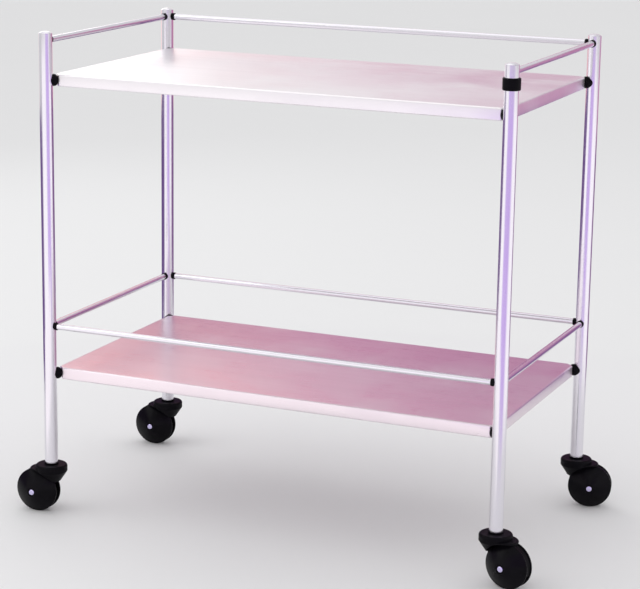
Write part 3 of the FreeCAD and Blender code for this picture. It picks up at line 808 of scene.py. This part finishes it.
def shelf_piece(level, shelves):
    """Folded shelf: plan loops carried through a section of flat top, bend, skirt and return lip.

    Each loop is the outline moved in by an offset and down by a drop. The outside runs down to the lip, and the
    inside comes back up one sheet's thickness away.
    """
    low, high = node_box(level + "_shelf")
    top = float(high[2])
    sheet, bend, lip = shelves.sheet, shelves.bend, shelves.lip
    fold = sheet * 1.6
    inner_fold = fold - sheet
    floor = -SKIRT_HEIGHT
    section = [(bend - bend * math.sin(a), -bend + bend * math.cos(a))
               for a in np.radians(np.linspace(0, 90, 9))]
    section += [(0.0, floor * 0.5)]
    section += [(fold - fold * math.cos(a), floor + fold - fold * math.sin(a))
                for a in np.radians(np.linspace(0, 90, 6))]
    section += [(lip, floor), (lip, floor + sheet)]
    section += [(fold - inner_fold * math.sin(a), floor + fold - inner_fold * math.cos(a))
                for a in np.radians(np.linspace(0, 90, 4))]
    section += [(sheet, floor * 0.5)]
    inner_bend = bend - sheet
    section += [(bend - inner_bend * math.cos(a), -bend + inner_bend * math.sin(a))
                for a in np.radians(np.linspace(0, 90, 6))]
    loops = []
    phase = 0.0 if level == "upper" else LOWER_RIPPLE_PHASE
    shares = np.concatenate([[0.0], np.linspace(0.04, 0.985, 26), [0.995]])
    edge = shelf_loop(bend, EDGE_CORNER_ROUND, shelves.corner_reach)
    for share in shares:
        flat = edge * share
        loops.append(np.column_stack([flat, top + ripple_height(flat, shelves.ripple, phase)]))
    for offset, drop in section:
        rounding = max(CORNER_ROUND - offset, LEAST_CORNER_ROUND)
        flat = shelf_loop(offset, rounding, shelves.corner_reach)
        loops.append(np.column_stack([flat, np.full(len(flat), top + drop)]))
    for share in shares[::-1]:
        flat = edge * share
        loops.append(np.column_stack([flat, top - sheet + ripple_height(flat, shelves.ripple, phase)]))
    points = np.array(loops)
    rows, columns = points.shape[:2]
    piece = mesh_piece(level + "_shelf_sheet", points.reshape(-1, 3), grid_faces(rows, columns, False), SHELF_SHARP_ANGLE)
    dress(piece, level + " shelf")
    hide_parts(level + "_shelf")
    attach(piece, "frame")


# Stage

# Screens that only shiny surfaces see: foot and reach, then direction in degrees from the X axis,
# tone and top at each stop
SCREENS = {
    "front_screen": (0.0, 0.84, (
        (-152, (1.0, 0.96, 0.98), 0.22), (-58, (1.0, 0.96, 0.98), 0.22),
    )),
    "low_screen": (0.0, 1.25, (
        (-180, (0.14, 0.08, 0.22), 0.56), (-150, (0.17, 0.10, 0.27), 0.56), (-138, (1.0, 0.98, 1.0), 0.70),
        (-92, (1.0, 0.98, 1.0), 0.70), (-80, (0.62, 0.46, 0.84), 0.70), (-32, (0.58, 0.42, 0.80), 0.70),
        (-16, (1.0, 0.97, 1.0), 0.70), (26, (1.0, 0.96, 1.0), 0.60), (38, (0.22, 0.11, 0.26), 0.52),
        (98, (0.20, 0.10, 0.24), 0.50), (112, (0.14, 0.07, 0.22), 0.50), (180, (0.14, 0.08, 0.22), 0.56),
    )),
    "high_screen": (0.50, 1.25, (
        (30, (0.72, 0.50, 0.66), 0.80), (48, (0.44, 0.21, 0.36), 1.05), (98, (0.48, 0.21, 0.34), 1.12),
        (112, (0.62, 0.29, 0.41), 0.95), (136, (1.0, 0.54, 0.52), 0.88), (165, (1.0, 0.86, 0.86), 0.76),
    )),
}


SCREEN_COLUMNS = 180
FLOOR_HALF = 30.0

# Soft lamps: place, the point they face, width, height and power in watts
LAMPS = {
    "left_softbox": ((-2.6, -1.6, 2.6), (0.0, 0.0, 0.5), 2.2, 2.6, 16.0),
    "front_softbox": ((1.6, -3.4, 2.8), (0.0, 0.0, 0.4), 2.4, 1.6, 6.0),
    "top_softbox": ((-0.8, 0.4, 3.2), (0.0, 0.0, 0.4), 2.6, 2.0, 6.0),
    "back_softbox": ((-2.3, 2.5, 1.75), (-0.3, 0.0, 0.7), 1.3, 0.8, 5.0),
}


def floor_material(colour):
    """Pale matt floor with a faint cloudiness."""
    material, tree, shader = blank_material("pale_floor")
    place = tree.nodes.new("ShaderNodeTexCoord")
    cloud = noise(tree, place.outputs["Object"], 1.5, 4.0, 0.5)
    darker = tuple(channel * 0.985 for channel in colour)
    tree.links.new(colour_mix(tree, cloud.outputs["Fac"], darker, tuple(colour)), shader.inputs["Base Color"])
    shader.inputs["Roughness"].default_value = 0.8
    shader.inputs["Specular IOR Level"].default_value = 0.2
    return material


def area_light(name, place, target, width, height, power):
    """Soft rectangular lamp aimed at a point."""
    lamp = bpy.data.lights.new(name, "AREA")
    lamp.shape = "RECTANGLE"
    lamp.size = width
    lamp.size_y = height
    lamp.energy = power
    holder = bpy.data.objects.new(name, lamp)
    holder.location = place
    aim = Vector(target) - Vector(place)
    holder.rotation_euler = aim.to_track_quat("-Z", "Y").to_euler()
    bpy.context.scene.collection.objects.link(holder)


def studio_world(fill, floor):
    """Even fill for the surfaces, and a pale surround that the camera and the metal see.

    At the horizon the surround has the tone of the lit floor, so the two meet without a line.
    """
    world = bpy.data.worlds.new("studio_surround")
    world.use_nodes = True
    bpy.context.scene.world = world
    tree = world.node_tree
    background = tree.nodes["Background"]
    place = tree.nodes.new("ShaderNodeTexCoord")
    parts = tree.nodes.new("ShaderNodeSeparateXYZ")
    tree.links.new(place.outputs["Generated"], parts.inputs[0])
    upward = spread(tree, parts.outputs["Z"], 0.02, 0.30, 0.0, 1.0)
    sideways = spread(tree, parts.outputs["X"], -0.4, -0.05, 1.0, 0.0)
    horizon = tuple(channel * fill for channel in floor)
    height_colour = colour_mix(tree, upward, horizon, (0.76, 0.75, 0.77))
    leftward = maths(tree, "MULTIPLY", maths(tree, "MULTIPLY", sideways, upward), 0.95)
    surround = colour_mix(tree, leftward, height_colour, (1.0, 1.0, 1.0))
    rays = tree.nodes.new("ShaderNodeLightPath")
    seen = maths(tree, "MAXIMUM", rays.outputs["Is Camera Ray"], rays.outputs["Is Glossy Ray"])
    seen = maths(tree, "MAXIMUM", seen, rays.outputs["Is Transmission Ray"])
    tree.links.new(colour_mix(tree, seen, (fill, fill, fill * 1.01), surround), background.inputs["Color"])
    background.inputs["Strength"].default_value = 1.0


def screen_material(name, stops, strength):
    """Glowing tones of a screen by direction from the trolley's middle."""
    material, tree, shader = blank_material(name + "_tones")
    place = tree.nodes.new("ShaderNodeTexCoord")
    parts = tree.nodes.new("ShaderNodeSeparateXYZ")
    tree.links.new(place.outputs["Object"], parts.inputs[0])
    turn = maths(tree, "ARCTAN2", parts.outputs["Y"], parts.outputs["X"])
    ramp = tree.nodes.new("ShaderNodeValToRGB")
    tree.links.new(spread(tree, turn, -math.pi, math.pi, 0.0, 1.0), ramp.inputs["Fac"])
    marks = ramp.color_ramp.elements
    while len(marks) < len(stops):
        marks.new(0.5)
    for mark, (degrees, tone, top) in zip(marks, stops):
        mark.position = (degrees + 180.0) / 360.0
        mark.color = (*tone, 1.0)
    shader.inputs["Base Color"].default_value = (0.0, 0.0, 0.0, 1.0)
    shader.inputs["Specular IOR Level"].default_value = 0.0
    tree.links.new(ramp.outputs["Color"], shader.inputs["Emission Color"])
    shader.inputs["Emission Strength"].default_value = strength
    return material


def reflecting_screen(name, foot, reach, stops, strength):
    """Upright screen on an arc round the trolley: the arc carried from its foot to a top that varies."""
    degrees, tones, tops = zip(*stops)
    count = SCREEN_COLUMNS + 1
    turn = np.linspace(degrees[0], degrees[-1], count)
    angle = np.radians(turn)
    arc_line = reach * np.stack([np.cos(angle), np.sin(angle)], axis=1)
    rows = (np.full(count, foot), np.interp(turn, degrees, tops))
    points = np.vstack([np.column_stack([arc_line, row]) for row in rows])
    column = np.arange(SCREEN_COLUMNS)
    quads = np.stack([column, column + 1, column + count + 1, column + count], axis=1)
    mesh = bpy.data.meshes.new(name)
    mesh.from_pydata(points.tolist(), [], quads.tolist())
    mesh.materials.append(screen_material(name, stops, strength))
    screen = bpy.data.objects.new(name, mesh)
    bpy.context.scene.collection.objects.link(screen)
    screen.visible_camera = False
    screen.visible_diffuse = False
    screen.visible_shadow = False


def camera_matrix(stage):
    """World matrix of a camera turned to the left, dipped and rolled, standing at its place."""
    turn, dip, roll = -stage.camera_turn, stage.camera_dip, stage.camera_roll
    forward = Vector((math.sin(turn) * math.cos(dip), math.cos(turn) * math.cos(dip), -math.sin(dip)))
    right = Vector((math.cos(turn), -math.sin(turn), 0.0))
    up = right.cross(forward)
    right, up = (right * math.cos(roll) + up * math.sin(roll), up * math.cos(roll) - right * math.sin(roll))
    turned_axes = Matrix((right, up, -forward)).transposed().to_4x4()
    return Matrix.Translation(stage.camera_place) @ turned_axes


# Operators

class TROLLEY_OT_materials(bpy.types.Operator):
    """Makes the steel and plastic finishes"""

    bl_idname = "trolley.materials"
    bl_label = "Finishes"

    def execute(self, context):
        make_materials(context.scene.trolley.finish)
        return {"FINISHED"}


class TROLLEY_OT_posts(bpy.types.Operator):
    """Turns the four post tubes and dresses their caps and the plain ring"""

    bl_idname = "trolley.posts"
    bl_label = "Posts"

    def execute(self, context):
        for corner in CORNERS:
            post_piece(corner, context.scene.trolley.tubes)
            dress(frame["nodes"][corner + "_post_cap"], "post steel")
        dress(frame["nodes"]["front_right_post_ring"], "fitting plastic")
        return {"FINISHED"}


class TROLLEY_OT_rails(bpy.types.Operator):
    """Turns the guard rails"""

    bl_idname = "trolley.rails"
    bl_label = "Guard rails"

    def execute(self, context):
        for level in LEVELS:
            for side in RAIL_SIDES[level]:
                rail_piece(level, side, context.scene.trolley.tubes)
        return {"FINISHED"}


class TROLLEY_OT_fittings(bpy.types.Operator):
    """Forms the ferrules and spacers and dresses the screws, washers and inserts"""

    bl_idname = "trolley.fittings"
    bl_label = "Ferrules, spacers and screws"

    def execute(self, context):
        settings = context.scene.trolley
        for level in LEVELS:
            ferrules_piece(level, settings.fittings)
            spacers_piece(level, settings.shelves, settings.fittings)
            for kind in ("screws", "washers", "inserts"):
                dress(frame["nodes"][level + "_shelf_" + kind], "fixing steel")
        return {"FINISHED"}


class TROLLEY_OT_shelves(bpy.types.Operator):
    """Folds the two shelves and dresses their channels"""

    bl_idname = "trolley.shelves"
    bl_label = "Shelves"

    def execute(self, context):
        for level in LEVELS:
            shelf_piece(level, context.scene.trolley.shelves)
            dress(frame["nodes"][level + "_shelf_channel"], "mill steel")
        return {"FINISHED"}


class TROLLEY_OT_castors(bpy.types.Operator):
    """Turns the castor wheels and dresses the housings, stems and axles"""

    bl_idname = "trolley.castors"
    bl_label = "Castors"

    def execute(self, context):
        for corner in CORNERS:
            for which in ("outer", "inner"):
                wheel_piece(corner, which, context.scene.trolley.castors)
            dress(frame["nodes"][corner + "_castor_socket"], "fitting plastic")
            dress(frame["nodes"][corner + "_castor_housing"], "housing plastic")
            dress(frame["nodes"][corner + "_castor_stem"], "axle steel")
            dress(frame["nodes"][corner + "_castor_axle"], "axle steel")
        return {"FINISHED"}


class TROLLEY_OT_stage(bpy.types.Operator):
    """Sets up the floor, the lamps, the surround and the camera"""

    bl_idname = "trolley.stage"
    bl_label = "Stage"

    def execute(self, context):
        stage = context.scene.trolley.stage
        corners = [(x * FLOOR_HALF, y * FLOOR_HALF, 0) for x, y in ((-1, -1), (1, -1), (1, 1), (-1, 1))]
        mesh = bpy.data.meshes.new("studio_floor")
        mesh.from_pydata(corners, [], [(0, 1, 2, 3)])
        floor = bpy.data.objects.new("studio_floor", mesh)
        floor.data.materials.append(floor_material(stage.floor))
        context.scene.collection.objects.link(floor)
        for name, values in LAMPS.items():
            area_light(name, *values)
        studio_world(stage.fill, stage.floor)
        for name, (foot, reach, stops) in SCREENS.items():
            reflecting_screen(name, foot, reach, stops, stage.screen_strength)
        camera = bpy.data.cameras.new("photo_camera")
        camera.lens = stage.lens
        camera.sensor_width = 36.0
        camera.clip_end = 200.0
        holder = bpy.data.objects.new("photo_camera", camera)
        holder.matrix_world = camera_matrix(stage)
        context.scene.collection.objects.link(holder)
        context.scene.camera = holder
        context.scene.view_settings.view_transform = "Standard"
        return {"FINISHED"}


class TROLLEY_PT_panel(bpy.types.Panel):
    """Sidebar panel that lists the steps"""

    bl_label = "Instrument Trolley"
    bl_idname = "TROLLEY_PT_panel"
    bl_space_type = "VIEW_3D"
    bl_region_type = "UI"
    bl_category = "Trolley"

    def draw(self, context):
        for operator in STEPS:
            self.layout.operator(operator.bl_idname)


STEPS = (
    TROLLEY_OT_materials, TROLLEY_OT_posts, TROLLEY_OT_rails, TROLLEY_OT_fittings,
    TROLLEY_OT_shelves, TROLLEY_OT_castors, TROLLEY_OT_stage,
)
SETTINGS = (
    TubeSettings, ShelfSettings, FittingSettings, CastorSettings, FinishSettings, StageSettings, TrolleySettings,
)
CLASSES = SETTINGS + STEPS + (TROLLEY_PT_panel,)


def register():
    """Registers every class and hangs the settings on the scene."""
    for item in CLASSES:
        bpy.utils.register_class(item)
    bpy.types.Scene.trolley = bpy.props.PointerProperty(type=TrolleySettings)


def unregister():
    """Takes the settings and classes away again."""
    del bpy.types.Scene.trolley
    for item in reversed(CLASSES):
        bpy.utils.unregister_class(item)


def main():
    """Builds everything in order."""
    register()
    bpy.ops.trolley.materials()
    bpy.ops.trolley.posts()
    bpy.ops.trolley.rails()
    bpy.ops.trolley.fittings()
    bpy.ops.trolley.shelves()
    bpy.ops.trolley.castors()
    bpy.ops.trolley.stage()


if __name__ == "__main__":
    main()
